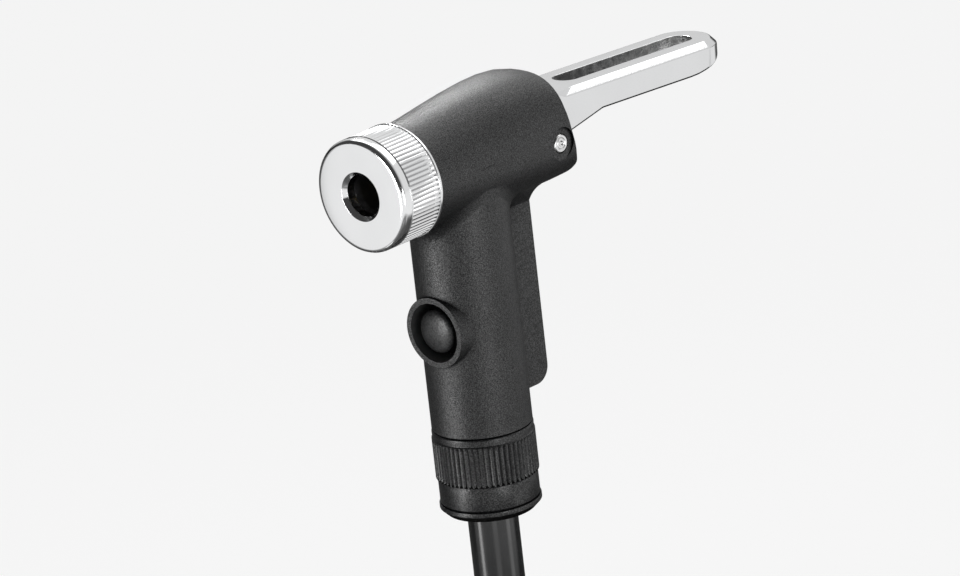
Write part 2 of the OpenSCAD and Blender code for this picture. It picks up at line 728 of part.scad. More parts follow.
module hose_coil() {
    color("#1b1b1c") loft(tube_rings(coil_line, hose_d / 2, coil_sides, [0, 0, 1]));
    gaps = [for (i = [0 : coil_steps], j = [i + turn_rings / 2 : 1 : coil_steps])
        norm(coil_turning[i] - coil_turning[j])];
    echo(str("least gap between turns of the coil ", min(gaps) - hose_d));
    echo(str("length of hose ", line_length(ROUTE) + line_length(coil_line)));
    echo(str("end of the coil ", coil_end));
}
function line_length(line) = let (s = [for (i = [1 : len(line) - 1]) norm(line[i] - line[i - 1])])
    s * [for (v = s) 1];

// Soft strap round the three turns that lie together at one place on the coil
module coil_tie() {
    place = 0.347;
    strap = 1;
    room = 0.5;
    width = 12;
    turns = [for (k = [0, 1, 2]) [turn_r(place + k), turn_z(place + k)]];
    color("#2e3033") translate(coil_mid) rotate([0, 0, coil_heading - 90 + 360 * place]) rotate([90, 0, 0])
        translate([0, 0, -width / 2]) linear_extrude(width) difference() {
            hull() for (c = turns) translate(c) circle(r = hose_d / 2 + room + strap, $fn = 32);
            hull() for (c = turns) translate(c) circle(r = hose_d / 2 + room, $fn = 32);
        }
}

// Parts on the far end of the hose lie along +X from the end of the coil
end_hose_len = 16;
end_body = coil_end + [end_hose_len, 0, 0];
end_stem_r = end_thread_d / 2 - 0.9;
end_nut_len = 11;
end_flange_t = 1.6;
end_shoulder = 1.6;
end_relief = 2.8;
module from_coil(x = 0) { translate(coil_end + [x, 0, 0]) rotate([0, 90, 0]) children(); }

module end_hose() {
    color("#1b1b1c") from_coil() difference() {
        cylinder(h = end_hose_len, d = hose_d);
        translate([0, 0, -1]) cylinder(h = end_hose_len + 2, d = hose_bore);
    }
}

module end_crimp() {
    r = hose_d / 2 + 0.1;
    color("#b9babd") from_coil(1) rotate_extrude() polygon([
        [r, 0], [r + crimp_t, 0.4], [r + crimp_t, 4], [r + crimp_t - 0.3, 4.4], [r + crimp_t - 0.3, 5.6],
        [r + crimp_t, 6], [r + crimp_t, 9], [r + crimp_t - 0.3, 9.4], [r + crimp_t - 0.3, 10.6],
        [r + crimp_t, 11], [r + crimp_t, end_hose_len - 1], [r, end_hose_len - 1]]);
}

module end_tail() {
    barb_r = hose_bore / 2 - pin_fit;
    color("#c9a55a") from_coil() difference() {
        union() {
            translate([0, 0, 2]) cylinder(h = end_hose_len - 1, r = barb_r);
            translate([0, 0, end_hose_len]) cylinder(h = 3, r = end_stem_r);
            translate([0, 0, end_hose_len]) cylinder(h = 1, r = hose_d / 2);
            translate([0, 0, end_hose_len + 3]) cylinder(h = end_flange_t, r = end_thread_d / 2 - 0.1);
        }
        translate([0, 0, 1]) cylinder(h = end_hose_len + 5, r = 1.8);
    }
}

module end_nut() {
    back = end_hose_len + 1.3;
    color("#c9cbce") from_coil(back) difference() {
        intersection() {
            cylinder(h = end_nut_len, d = end_nut_af / cos(30), $fn = 6);
            cylinder(h = end_nut_len, d1 = end_nut_af + 0.2, d2 = end_nut_af + 2 * end_nut_len);
            cylinder(h = end_nut_len, d2 = end_nut_af + 0.2, d1 = end_nut_af + 2 * end_nut_len);
        }
        translate([0, 0, -1]) cylinder(h = end_nut_len, r = end_stem_r + fit);
        translate([0, 0, end_shoulder]) cylinder(h = end_relief, d = end_thread_d + 1);
        translate([0, 0, end_shoulder]) cylinder(h = end_nut_len, d = end_thread_d);
    }
}

module end_washer() {
    color("#1c1c1d") from_coil(end_hose_len + 3 + end_flange_t) difference() {
        cylinder(h = 1, d = end_thread_d - 0.2);
        translate([0, 0, -1]) cylinder(h = 3, d = 4);
    }
}

housing();
valve_nut();
valve_grommet();
grommet_washer();
plunger();
piston_o_ring();
core_pin();
cam_follower();
plunger_spring();
stem_o_ring();
lever();
lever_pin();
lever_washers();
release_button();
button_stem();
button_seal();
button_spring();
button_bush();
union_nut();
hose_sleeve();
end_cap();
hose_tail();
tail_o_ring();
hose_crimp();
hose_root();
hose();
hose_coil();
coil_tie();
end_hose();
end_crimp();
end_tail();
end_nut();
end_washer();
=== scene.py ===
import math

import bmesh
import bpy
from mathutils import Matrix, Vector


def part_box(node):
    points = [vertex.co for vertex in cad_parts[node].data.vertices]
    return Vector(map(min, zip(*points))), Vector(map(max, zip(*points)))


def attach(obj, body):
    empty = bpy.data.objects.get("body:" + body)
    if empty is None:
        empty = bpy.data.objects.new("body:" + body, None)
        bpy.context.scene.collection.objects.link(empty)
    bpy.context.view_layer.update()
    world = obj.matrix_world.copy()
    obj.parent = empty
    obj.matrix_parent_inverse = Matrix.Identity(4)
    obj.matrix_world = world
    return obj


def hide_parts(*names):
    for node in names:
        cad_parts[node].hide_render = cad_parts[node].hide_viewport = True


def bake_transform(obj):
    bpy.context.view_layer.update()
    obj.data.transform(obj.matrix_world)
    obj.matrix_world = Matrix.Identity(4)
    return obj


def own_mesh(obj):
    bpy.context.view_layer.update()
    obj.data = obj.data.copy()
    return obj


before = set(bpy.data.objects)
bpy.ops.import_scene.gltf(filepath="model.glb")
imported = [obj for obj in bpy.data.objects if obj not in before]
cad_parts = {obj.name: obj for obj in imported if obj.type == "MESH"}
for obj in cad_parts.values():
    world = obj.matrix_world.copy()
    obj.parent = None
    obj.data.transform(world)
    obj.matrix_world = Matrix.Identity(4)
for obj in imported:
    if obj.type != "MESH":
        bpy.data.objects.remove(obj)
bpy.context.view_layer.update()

MM = 0.001
SCENE = bpy.context.scene


# ---------------------------------------------------------------- camera and hose first
# Sizes and places are in millimetres unless a comment says metres.

FACE_Y = -0.9
VIEW_AROUND, VIEW_ABOVE, VIEW_ROLL = 44.3, 18.0, -6.5
VIEW_BACK, VIEW_RIGHT, VIEW_DOWN = 1500, 24.06, 18.28
LENS = 279.6


def set_camera():
    """Long studio lens, turned 44 degrees round the head and 18 degrees above it."""
    around, above, roll = (math.radians(a) for a in (VIEW_AROUND, VIEW_ABOVE, VIEW_ROLL))
    back = Vector((math.sin(around) * math.cos(above), -math.cos(around) * math.cos(above),
                   math.sin(above)))
    level = Vector((math.cos(around), math.sin(around), 0))
    upright = back.cross(level)
    right = math.cos(roll) * level + math.sin(roll) * upright
    up = math.cos(roll) * upright - math.sin(roll) * level
    data = bpy.data.cameras.new("studio_camera")
    data.sensor_fit = "HORIZONTAL"
    data.sensor_width = 36.0
    data.lens = LENS
    data.clip_start = 0.05
    data.clip_end = 30.0
    camera = bpy.data.objects.new("studio_camera", data)
    SCENE.collection.objects.link(camera)
    face = Vector((0, FACE_Y, 0)) * MM
    place = face + (VIEW_BACK * back + VIEW_RIGHT * right - VIEW_DOWN * up) * MM
    turn = Matrix((right, up, back)).transposed().to_4x4()
    camera.matrix_world = Matrix.Translation(place) @ turn
    SCENE.camera = camera


HOSE_D, HOSE_SIDES = 10.6, 28
GRIP_Y, CAP_END = 26.5, -75.8
ROUTE = [
    (0, GRIP_Y, CAP_END), (0, GRIP_Y, -85), (0, GRIP_Y, -95), (0, GRIP_Y, -105),
    (0.2, 27.7, -116.7), (0.8, 31, -128), (1.5, 36.4, -138.3), (1.9, 43.6, -147.4),
    (1.6, 52.1, -154.9), (0.6, 61.7, -160.4), (-1, 72, -163.9), (-4, 84, -165), (-9.1, 95, -165)]
COIL_HEADING = math.atan2(11, -5.1)  # the way that the last step of the route goes
COIL_AHEAD = Vector((math.cos(COIL_HEADING), math.sin(COIL_HEADING), 0))
COIL_INWARD = Vector((-COIL_AHEAD.y, COIL_AHEAD.x, 0))
COIL_R, COIL_PITCH = 62.0, 11.4
COIL_MID = Vector(ROUTE[-1]) + HOSE_D * COIL_AHEAD + COIL_R * COIL_INWARD
COIL_TURNS = (6 * math.pi - COIL_HEADING) / (2 * math.pi)  # up to where the hose points along x
TURN_RINGS = 24
LOWER_TURNS, CLIMB_TURNS, LAYER_Z = 1.3, 0.5, HOSE_D + 0.8
LIFT_TURNS, END_LIFT, END_HOSE = 0.4, 2.2, 16.0
STRAP_PLACE, STRAP_WIDTH, STRAP_THICK, STRAP_REACH = 0.347, 12.0, 1.2, 1.5


def ease(t):
    """Smooth step from 0 to 1."""
    t = min(1.0, max(0.0, t))
    return t * t * (3 - 2 * t)


def turn_r(t):
    """Radius after t turns: inwards on the floor, then outwards on the layer above it."""
    inner = COIL_R - COIL_PITCH * LOWER_TURNS
    if t < LOWER_TURNS:
        return COIL_R - COIL_PITCH * t
    climbed = t - LOWER_TURNS
    if climbed < CLIMB_TURNS:
        return inner - COIL_PITCH * climbed * (1 - climbed / CLIMB_TURNS)
    return inner + COIL_PITCH * (climbed - CLIMB_TURNS)


def turn_z(t):
    """Height after t turns, with the end lifted so that its fitting lies free."""
    layer = LAYER_Z * ease((t - LOWER_TURNS) / CLIMB_TURNS)
    return layer + END_LIFT * ease((t - COIL_TURNS + LIFT_TURNS) / LIFT_TURNS)


def turn_angle(t):
    """Where the hose is round the middle of the coil after t turns."""
    return COIL_HEADING - math.pi / 2 + 2 * math.pi * t


def turn_point(t):
    w = turn_angle(t)
    return COIL_MID + Vector((turn_r(t) * math.cos(w), turn_r(t) * math.sin(w), turn_z(t)))


def hose_line():
    """Points that the hose follows, from the end cap to the end of the hose."""
    steps = round(COIL_TURNS * TURN_RINGS)
    line = [Vector(p) for p in ROUTE]
    line += [turn_point(COIL_TURNS * i / steps) for i in range(steps + 1)]
    return line + [line[-1] + Vector((x, 0, 0)) for x in (HOSE_D, HOSE_D + END_HOSE)]


def smooth_line(line, parts=4):
    """More points on a smooth line through the given ones."""
    points = [2 * line[0] - line[1]] + line + [2 * line[-1] - line[-2]]
    out = []
    for i in range(1, len(points) - 2):
        a, b, c, d = points[i - 1:i + 3]
        for k in range(parts):
            t = k / parts
            out.append(0.5 * (2 * b + (c - a) * t + (2 * a - 5 * b + 4 * c - d) * t ** 2
                              + (3 * b - a - 3 * c + d) * t ** 3))
    return out + [line[-1]]


def object_from(name, bm, finishes=(), sharp=35):
    """Links the finished mesh at the origin, smooth but for edges over the sharp angle."""
    bm.normal_update()
    for face in bm.faces:
        face.smooth = True
    for edge in bm.edges:
        edge.smooth = edge.calc_face_angle(0) < math.radians(sharp)
    mesh = bpy.data.meshes.new(name)
    bm.to_mesh(mesh)
    bm.free()
    if "custom_normal" in mesh.attributes:
        mesh.attributes.remove(mesh.attributes["custom_normal"])
    for finish in finishes:
        mesh.materials.append(finish)
    made = bpy.data.objects.new(name, mesh)
    SCENE.collection.objects.link(made)
    return made


def tube_along(name, line, radius, sides, finishes=()):
    """Round tube with closed ends: a ring of vertices extruded and turned along the line."""
    bm = bmesh.new()
    ahead = (line[1] - line[0]).normalized()
    turn = Vector((0, 0, 1)).rotation_difference(ahead).to_matrix().to_4x4()
    bmesh.ops.create_circle(bm, cap_ends=True, segments=sides, radius=radius,
                            matrix=Matrix.Translation(line[0]) @ turn)
    edges = bm.edges[:]
    for i in range(1, len(line)):
        onward = (line[min(i + 1, len(line) - 1)] - line[i - 1]).normalized()
        made = bmesh.ops.extrude_edge_only(bm, edges=edges)["geom"]
        ring = [g for g in made if isinstance(g, bmesh.types.BMVert)]
        ends = set(ring)
        edges = [g for g in made
                 if isinstance(g, bmesh.types.BMEdge) and ends.issuperset(g.verts)]
        bend = ahead.rotation_difference(onward).to_matrix().to_4x4()
        bmesh.ops.transform(bm, verts=ring, matrix=(
            Matrix.Translation(line[i]) @ bend @ Matrix.Translation(-line[i - 1])))
        ahead = onward
    bmesh.ops.contextual_create(bm, geom=edges)
    bmesh.ops.recalc_face_normals(bm, faces=bm.faces)
    return object_from(name, bm, finishes, sharp=60)


def make_hose():
    """Hose from the end cap to its own fitting, with the line that it follows, in metres."""
    line = [p * MM for p in smooth_line(hose_line())]
    hose = tube_along("hose_tube", line, HOSE_D / 2 * MM, HOSE_SIDES)
    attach(hose, "head")
    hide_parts("hose", "hose_coil", "end_hose")
    return hose, line


set_camera()
hose, hose_path = make_hose()


# ---------------------------------------------------------------- finishes

def grey(level):
    """Colour that is the same in red, green and blue."""
    return (level, level, level)


def feed(tree, socket, value):
    """Gives an input its value: another node's output, a colour without alpha, or a number."""
    if isinstance(value, bpy.types.NodeSocket):
        tree.links.new(value, socket)
    elif socket.type == "RGBA":
        socket.default_value = (*value, 1)
    else:
        socket.default_value = value


def feed_all(tree, node, **sockets):
    """Feeds a node's inputs, named with _ for each space."""
    for name, value in sockets.items():
        feed(tree, node.inputs[name.replace("_", " ")], value)


def add(tree, kind, **sockets):
    """New node with its inputs fed."""
    node = tree.nodes.new(kind)
    feed_all(tree, node, **sockets)
    return node


def finish_of(name, color, roughness, **sockets):
    """New material with its node tree and its shader."""
    material = bpy.data.materials.new(name)
    material.use_nodes = True
    tree = material.node_tree
    shader = tree.nodes["Principled BSDF"]
    feed_all(tree, shader, Base_Color=color, Roughness=roughness, **sockets)
    return material, tree, shader


def object_place(tree, heading=0.0):
    """Object coordinates in metres, turned so that their x axis lies along the heading."""
    where = add(tree, "ShaderNodeTexCoord").outputs["Object"]
    turned_to = add(tree, "ShaderNodeMapping", Vector=where, Rotation=(0, 0, -heading))
    return turned_to.outputs["Vector"]


def worked(tree, operation, a, b=0.0):
    """Result of a sum on two numbers, each a socket or a plain number."""
    node = add(tree, "ShaderNodeMath")
    node.operation = operation
    for socket, value in zip(node.inputs, (a, b)):
        feed(tree, socket, value)
    return node.outputs[0]


def product(tree, a, b):
    return worked(tree, "MULTIPLY", a, b)


def split(tree, place):
    """The x, y and z of a place, as three sockets."""
    axes = add(tree, "ShaderNodeSeparateXYZ", Vector=place).outputs
    return axes["X"], axes["Y"], axes["Z"]


def noise(tree, place, scale, detail=2.0, rough=0.5):
    """Cloudy value from 0 to 1, with about scale clouds to a metre."""
    return add(tree, "ShaderNodeTexNoise", Vector=place, Scale=scale, Detail=detail,
               Roughness=rough).outputs["Fac"]


def ramp(tree, value, low, high, a, b):
    """Value from low to high becomes a number from a to b, and stays within them."""
    return add(tree, "ShaderNodeMapRange", Value=value, From_Min=low, From_Max=high, To_Min=a,
               To_Max=b).outputs["Result"]


def shade(tree, value, low, high, start=0.3, end=0.7):
    """Colour from low to high as value goes from start to end."""
    node = add(tree, "ShaderNodeValToRGB", Fac=value)
    for stop, place, color in zip(node.color_ramp.elements, (start, end), (low, high)):
        stop.position = place
        stop.color = (*color, 1)
    return node.outputs["Color"]


def bump(tree, height, depth):
    """Relief whose full height is depth metres."""
    return add(tree, "ShaderNodeBump", Height=height, Distance=depth).outputs["Normal"]


PAINTED_SHADE_REACH = 0.01  # in metres: within this reach of a wall the gloss of a moulding is turned down, a painted shade


def grained_moulding(name, low, high, roughness, grain=2600, depth=0.00003, gloss=0.3,
                     start=0.42, end=0.66):
    """Moulded plastic with a fine spark-eroded grain: a grain is lighter, glossier and proud.
    Near walls its gloss is turned down as a painted shade.
    """
    material, tree, shader = finish_of(name, low, roughness)
    place = object_place(tree)
    fine = noise(tree, place, grain, 2.5, 0.62)
    broad = noise(tree, place, 70)
    # painted shade: the gloss fades where walls are near, in hollows, creases and between parts
    openness = add(tree, "ShaderNodeAmbientOcclusion", Distance=PAINTED_SHADE_REACH)
    openness.samples = 8
    painted_hollow_shade = ramp(tree, openness.outputs["AO"], 0.62, 0.86, 0.05, 1.0)
    polish = ramp(tree, fine, start, end, 0.45 * gloss, 1.55 * gloss)
    feed_all(tree, shader, Base_Color=shade(tree, fine, low, high, start, end),
             Specular_IOR_Level=product(tree, polish, painted_hollow_shade),
             Roughness=ramp(tree, broad, 0.3, 0.7, roughness - 0.04, roughness + 0.04),
             Normal=bump(tree, fine, depth))
    return material


def turned_metal(name, color, roughness):
    """Metal with the fine marks that the tool left."""
    material, tree, shader = finish_of(name, color, roughness, Metallic=1.0)
    place = object_place(tree)
    marks = noise(tree, place, 2500, 3.0, 0.6)
    spread = noise(tree, place, 90)
    feed_all(tree, shader, Base_Color=shade(tree, spread, [c * 0.96 for c in color], color),
             Roughness=ramp(tree, marks, 0.3, 0.7, roughness * 0.85, roughness * 1.2),
             Normal=bump(tree, marks, 0.000004))
    return material


def rough_cast(name, low, high, roughness):
    """Unpolished cast wall: cloudy, pitted, and lighter towards the tip."""
    material, tree, shader = finish_of(name, low, roughness, Metallic=1.0)
    place = object_place(tree)
    # lighter along y towards the tip
    towards_tip = ramp(tree, split(tree, place)[1], 0.07, 0.1, -0.12, 0.22)
    cloud = worked(tree, "ADD", noise(tree, place, 420, 4.0, 0.65), towards_tip)
    feed_all(tree, shader, Base_Color=shade(tree, cloud, low, high, 0.36, 0.74),
             Roughness=ramp(tree, cloud, 0.3, 0.7, roughness + 0.1, roughness - 0.1),
             Normal=bump(tree, noise(tree, place, 1500, 3.0, 0.6), 0.00012))
    return material


def woven_webbing(name, low, high, roughness, heading):
    """Webbing whose ribs run along the strap: heading is the way its width lies on the floor."""
    material, tree, shader = finish_of(name, low, roughness, Specular_IOR_Level=0.15)
    place = object_place(tree, heading)
    ribs = add(tree, "ShaderNodeTexWave", Vector=place, Scale=330.0, Distortion=0.6, Detail=1.0)
    threads = noise(tree, place, 3000, 2.0, 0.6)
    cloth = worked(tree, "ADD", product(tree, ribs.outputs["Fac"], 0.6),
                   product(tree, threads, 0.6))
    feed_all(tree, shader, Base_Color=shade(tree, cloth, low, high, 0.25, 0.95),
             Normal=bump(tree, cloth, 0.0002))
    return material


def soft_rubber(name, low, high, roughness, depth=0.000015, gloss=0.5):
    """Rubber or smooth plastic: faintly cloudy, with a skin that is almost even."""
    material, tree, shader = finish_of(name, low, roughness, Specular_IOR_Level=gloss)
    place = object_place(tree)
    cloud = noise(tree, place, 160, 3.0)
    feed_all(tree, shader, Base_Color=shade(tree, cloud, low, high),
             Roughness=ramp(tree, cloud, 0.3, 0.7, roughness - 0.04, roughness + 0.04),
             Normal=bump(tree, noise(tree, place, 4000), depth))
    return material


MOULDING = grained_moulding("moulding_black", (0.001, 0.0011, 0.0012), (0.02, 0.021, 0.022), 0.44,
                            grain=4600, depth=0.00006, gloss=0.84, start=0.4, end=0.68)
# painted shade: near black and matt, for the well's floor, the ribs' run-outs and the cap's end,
# where shade falls
SHADE_BLACK = grained_moulding("painted_shade_black", grey(0.001), grey(0.004), 0.8, gloss=0.1)
# painted light: a lighter copy of the black moulding for the well's wall, so that lamps show on
# it; it is also smoother
LIT_WALL = soft_rubber("well_wall_painted_lighter", (0.015, 0.0153, 0.0156), (0.05, 0.0505, 0.051), 0.3,
                   depth=0.00002, gloss=0.6)
BUTTON = grained_moulding("button_black", grey(0.002), (0.03, 0.031, 0.032), 0.36,
                          depth=0.00004, gloss=0.6, start=0.25, end=0.8)
COLLAR = grained_moulding("collar_black", (0.003, 0.0031, 0.0033), (0.018, 0.019, 0.02), 0.34,
                          grain=4200, depth=0.00002, gloss=0.72)
NUT = turned_metal("nut_satin", (0.89, 0.895, 0.9), 0.11)
# painted shade: darker, rougher metal in the knurl's grooves
GROOVE_SHADE = turned_metal("knurl_grooves_painted_shade", (0.66, 0.66, 0.665), 0.2)
LEVER = turned_metal("lever_polished", (0.79, 0.795, 0.8), 0.1)
CAST = rough_cast("slot_as_cast", (0.24, 0.242, 0.245), grey(0.8), 0.4)
# painted shade: a dark line along the lever's lower edge, standing in for a dark reflection
EDGE_SHADE = turned_metal("lower_edge_painted_dark", grey(0.025), 0.45)
STEEL = turned_metal("bright_steel", grey(0.8), 0.2)
SPRING = turned_metal("spring_wire", (0.6, 0.6, 0.62), 0.3)
BRASS = turned_metal("turned_brass", (0.72, 0.56, 0.28), 0.25)
# painted shade: brass darkened where it sits deep in the valve's bore
SHADED_BRASS = turned_metal("brass_painted_dark", (0.05, 0.045, 0.035), 0.45)
PLUNGER = turned_metal("turned_alloy", (0.7, 0.71, 0.72), 0.28)
CRIMP = turned_metal("crimp_satin", (0.62, 0.63, 0.65), 0.32)
NICKEL = turned_metal("nickel_plate", (0.76, 0.75, 0.72), 0.2)
RUBBER = soft_rubber("seal_rubber", grey(0.012), grey(0.022), 0.5)
GROMMET = soft_rubber("grommet_rubber", grey(0.008), grey(0.016), 0.35)
HOSE = soft_rubber("hose_rubber", (0.006, 0.0062, 0.0065), (0.009, 0.0094, 0.01), 0.17,
                   depth=0.000004, gloss=0.8)
NYLON = grained_moulding("nylon_natural", (0.7, 0.68, 0.62), (0.78, 0.76, 0.7), 0.45,
                         grain=1500, depth=0.00002)
STRAP = woven_webbing("strap_webbing", (0.004, 0.004, 0.0045), (0.035, 0.035, 0.038), 0.85,
                      COIL_HEADING + 2 * math.pi * STRAP_PLACE)

hose.data.materials.append(HOSE)

CAD_FINISH = {
    "housing": MOULDING, "valve_nut": NUT, "valve_grommet": GROMMET, "grommet_washer": SHADED_BRASS,
    "plunger": PLUNGER, "piston_o_ring": RUBBER, "core_pin": BRASS, "cam_follower": STEEL,
    "plunger_spring": SPRING, "stem_o_ring": RUBBER, "lever": LEVER, "lever_pin": STEEL,
    "lever_washers": NYLON, "release_button": BUTTON, "button_stem": BRASS, "button_seal": RUBBER,
    "button_spring": SPRING, "button_bush": BRASS, "union_nut": COLLAR, "hose_sleeve": COLLAR,
    "end_cap": COLLAR, "hose_tail": BRASS, "tail_o_ring": RUBBER, "hose_crimp": CRIMP,
    "hose_root": HOSE, "hose": HOSE, "hose_coil": HOSE, "coil_tie": STRAP, "end_hose": HOSE,
    "end_crimp": CRIMP, "end_tail": BRASS, "end_nut": NICKEL, "end_washer": RUBBER}
for node, finish in CAD_FINISH.items():
    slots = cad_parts[node].data.materials
    if len(slots):
        slots[0] = finish
    else:
        slots.append(finish)


# ---------------------------------------------------------------- turned pieces

AXES = {
    "X": Matrix(((0, 0, 1, 0), (1, 0, 0, 0), (0, 1, 0, 0), (0, 0, 0, 1))),
    "Y": Matrix(((1, 0, 0, 0), (0, 0, 1, 0), (0, -1, 0, 0), (0, 0, 0, 1))),
    "Z": Matrix.Identity(4)}


def rounded(corners, parts=4):
    """Points of an outline whose corners are (radius, place, rounding)."""
    points = []
    for i, (r, along, rounding) in enumerate(corners):
        corner = Vector((r, along))
        if rounding <= 0:
            points.append(corner)
            continue
        before = Vector(corners[i - 1][:2]) - corner
        after = Vector(corners[(i + 1) % len(corners)][:2]) - corner
        reach = rounding / math.tan(before.angle(after) / 2)
        reach = min(reach, 0.48 * before.length, 0.48 * after.length)
        start, end = corner + reach * before.normalized(), corner + reach * after.normalized()
        for k in range(parts + 1):
            t = k / parts
            points.append((1 - t) ** 2 * start + 2 * t * (1 - t) * corner + t * t * end)
    return points


def straight(radius, *places):
    """Points of an outline that keep one radius."""
    return [Vector((radius, along)) for along in places]


def turned(outline, steps):
    """Spins (radius, place) points round z, joined to a ring unless they start on the axis."""
    bm = bmesh.new()
    ring = [bm.verts.new((r, 0, along)) for r, along in outline]
    edges = [bm.edges.new(pair) for pair in zip(ring, ring[1:])]
    if outline[0][0] > 1e-6:
        edges.append(bm.edges.new((ring[-1], ring[0])))
    bmesh.ops.spin(bm, geom=ring + edges, cent=(0, 0, 0), axis=(0, 0, 1), angle=2 * math.pi,
                   steps=steps, use_merge=True)
    bmesh.ops.remove_doubles(bm, verts=bm.verts, dist=1e-5)
    bmesh.ops.recalc_face_normals(bm, faces=bm.faces)
    bm.normal_update()
    return bm


def stand(bm, axis, centre=(0, 0, 0)):
    """Takes a turned piece from its own axis to its place, in metres."""
    place = Matrix.Scale(MM, 4) @ Matrix.Translation(centre) @ AXES[axis]
    bmesh.ops.transform(bm, verts=bm.verts, matrix=place)
    return bm


def piece(name, bm, finishes, body, node, sharp=35):
    """Piece that is seen instead of its node."""
    made = object_from(name, bm, finishes, sharp)
    if body:
        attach(made, body)
    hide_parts(node)
    return made


def cut_grooves(bm, teeth, wave, low, high, deep, run_in, run_out, radius):
    """Presses a straight knurl into a turned band. Wave is each column's share of the depth."""
    presses = {}
    for v in bm.verts:
        r = math.hypot(v.co.x, v.co.y)
        if r >= radius and low <= v.co.z <= high:
            column = round(math.atan2(v.co.y, v.co.x) / (2 * math.pi) * teeth * len(wave))
            share = wave[column % len(wave)]
            share *= min(1.0, (v.co.z - low) / run_in, (high - v.co.z) / run_out)
            presses.setdefault(round(1 - deep * share / r, 5), []).append(v)
    for factor, verts in presses.items():
        bmesh.ops.scale(bm, verts=verts, vec=Vector((factor, factor, 1)))


NUT_R, PORT_R, CHAMBER_R, THREAD_R = 12.0, 4.4, 8.1, 9.55
NUT_BACK, NUT_FLOOR, SHOULDER_Y = 10.6, 2.0, 4.5
LINE_Y, KNURL_Y, RIM_Y, RIM_PROUD = 1.5, 1.85, 9.9, 0.15
NUT_TEETH, NUT_WAVE = 78, (1, 0.62, 0.04, 0, 0.04, 0.62)


def make_valve_nut():
    """Nut with a rounded front, a fine line turned in before its knurl and a rim behind it."""
    rim_r = NUT_R + RIM_PROUD
    outline = rounded([
        (PORT_R, NUT_FLOOR, 0), (PORT_R, 0, 0.1), (PORT_R + 0.8, FACE_Y, 0.12),
        (NUT_R, FACE_Y, 1.15), (NUT_R, LINE_Y, 0.12), (NUT_R - 0.3, LINE_Y + 0.16, 0.06),
        (NUT_R, KNURL_Y, 0)], 5)
    outline += straight(NUT_R, KNURL_Y + 0.12, KNURL_Y + 0.45, RIM_Y - 1.3, RIM_Y - 0.1)
    outline += rounded([
        (NUT_R - 0.08, RIM_Y, 0), (rim_r, RIM_Y + 0.05, 0.1), (rim_r, NUT_BACK, 0.25),
        (THREAD_R, NUT_BACK, 0.15), (THREAD_R, SHOULDER_Y, 0), (CHAMBER_R, SHOULDER_Y, 0),
        (CHAMBER_R, NUT_FLOOR, 0)])
    bm = turned(outline, NUT_TEETH * len(NUT_WAVE))
    cut_grooves(bm, NUT_TEETH, NUT_WAVE, low=KNURL_Y + 0.05, high=RIM_Y - 0.05, deep=0.42,
                run_in=0.07, run_out=1.2, radius=NUT_R - 0.1)
    # the knurl's pressed faces get the darker groove metal, a painted shade
    for face in bm.faces:
        middle = face.calc_center_median()
        pressed = math.hypot(middle.x, middle.y) < NUT_R - 0.25
        face.material_index = int(KNURL_Y < middle.z < RIM_Y and pressed)
    piece("valve_nut_turned", stand(bm, "Y"), (NUT, GROOVE_SHADE), "head", "valve_nut",
          sharp=28)


GROMMET_FRONT, GROMMET_BACK, GROMMET_R, GROMMET_BORE = 2.0, 10.0, 7.9, 4.1


def make_grommet():
    """Rubber sleeve with a soft round lead-in at both ends of its bore."""
    outline = rounded([
        (4.75, GROMMET_FRONT, 0.1), (GROMMET_R, GROMMET_FRONT, 0.2),
        (GROMMET_R, GROMMET_BACK, 0.2), (4.7, GROMMET_BACK, 0.25),
        (GROMMET_BORE, GROMMET_BACK - 1.2, 1.0), (GROMMET_BORE, GROMMET_FRONT + 1.6, 1.6)], 6)
    sleeve = piece("grommet_sleeve", stand(turned(outline, 96), "Y"), (GROMMET,), None,
                   "valve_grommet", sharp=50)
    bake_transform(sleeve)


PIN_Y, PIN_Z, PIN_X, PIN_R, PIN_SHANK = 47.0, -1.6, 11.6, 2.05, 8.0


def make_pin():
    """Riveted pin: each end has a rounded rim, a shallow ring and a dimple."""
    end = [(0, PIN_X - 0.42, 0), (0.38, PIN_X - 0.34, 0.1), (0.62, PIN_X - 0.1, 0.12),
           (1.0, PIN_X - 0.12, 0.06), (1.12, PIN_X - 0.2, 0.06), (1.26, PIN_X - 0.1, 0.06),
           (1.7, PIN_X, 0.3), (PIN_R, PIN_X - 0.35, 0.3)]
    far = [(r, -x, rounding) for r, x, rounding in reversed(end)]
    outline = rounded(end + [(PIN_R, PIN_SHANK, 0), (PIN_R, -PIN_SHANK, 0)] + far)
    piece("lever_pin_riveted", stand(turned(outline, 48), "X", (0, PIN_Y, PIN_Z)), (STEEL,),
          "head", "lever_pin", sharp=50)


BUTTON_Z, BUTTON_TOP, BUTTON_R, BUTTON_SKIRT = -34.3, 15.4, 4.6, 18.9
DOME_HEIGHT, STEM_R, STEM_SOCKET = 1.3, 1.12, 0.9
SPRING_SEAT, WELL_FLOOR, WELL_R = 18.1, 20.3, 6.4


def make_button():
    """Domed cap, hollow at its back, with a socket for its stem."""
    dome = [Vector((BUTTON_R * math.sin(w), BUTTON_TOP + DOME_HEIGHT * (1 - math.cos(w))))
            for w in (math.radians(a) for a in range(0, 91, 5))]
    inside = rounded([
        (BUTTON_R, BUTTON_SKIRT, 0.15), (BUTTON_R - 1, BUTTON_SKIRT, 0.1),
        (BUTTON_R - 1, SPRING_SEAT, 0.1), (STEM_R, SPRING_SEAT, 0),
        (STEM_R, SPRING_SEAT - STEM_SOCKET, 0), (0, SPRING_SEAT - STEM_SOCKET, 0)], 3)
    bm = turned(dome + inside, 72)
    piece("release_button_cap", stand(bm, "Y", (0, 0, BUTTON_Z)), (BUTTON,), "button_set",
          "release_button", sharp=40)


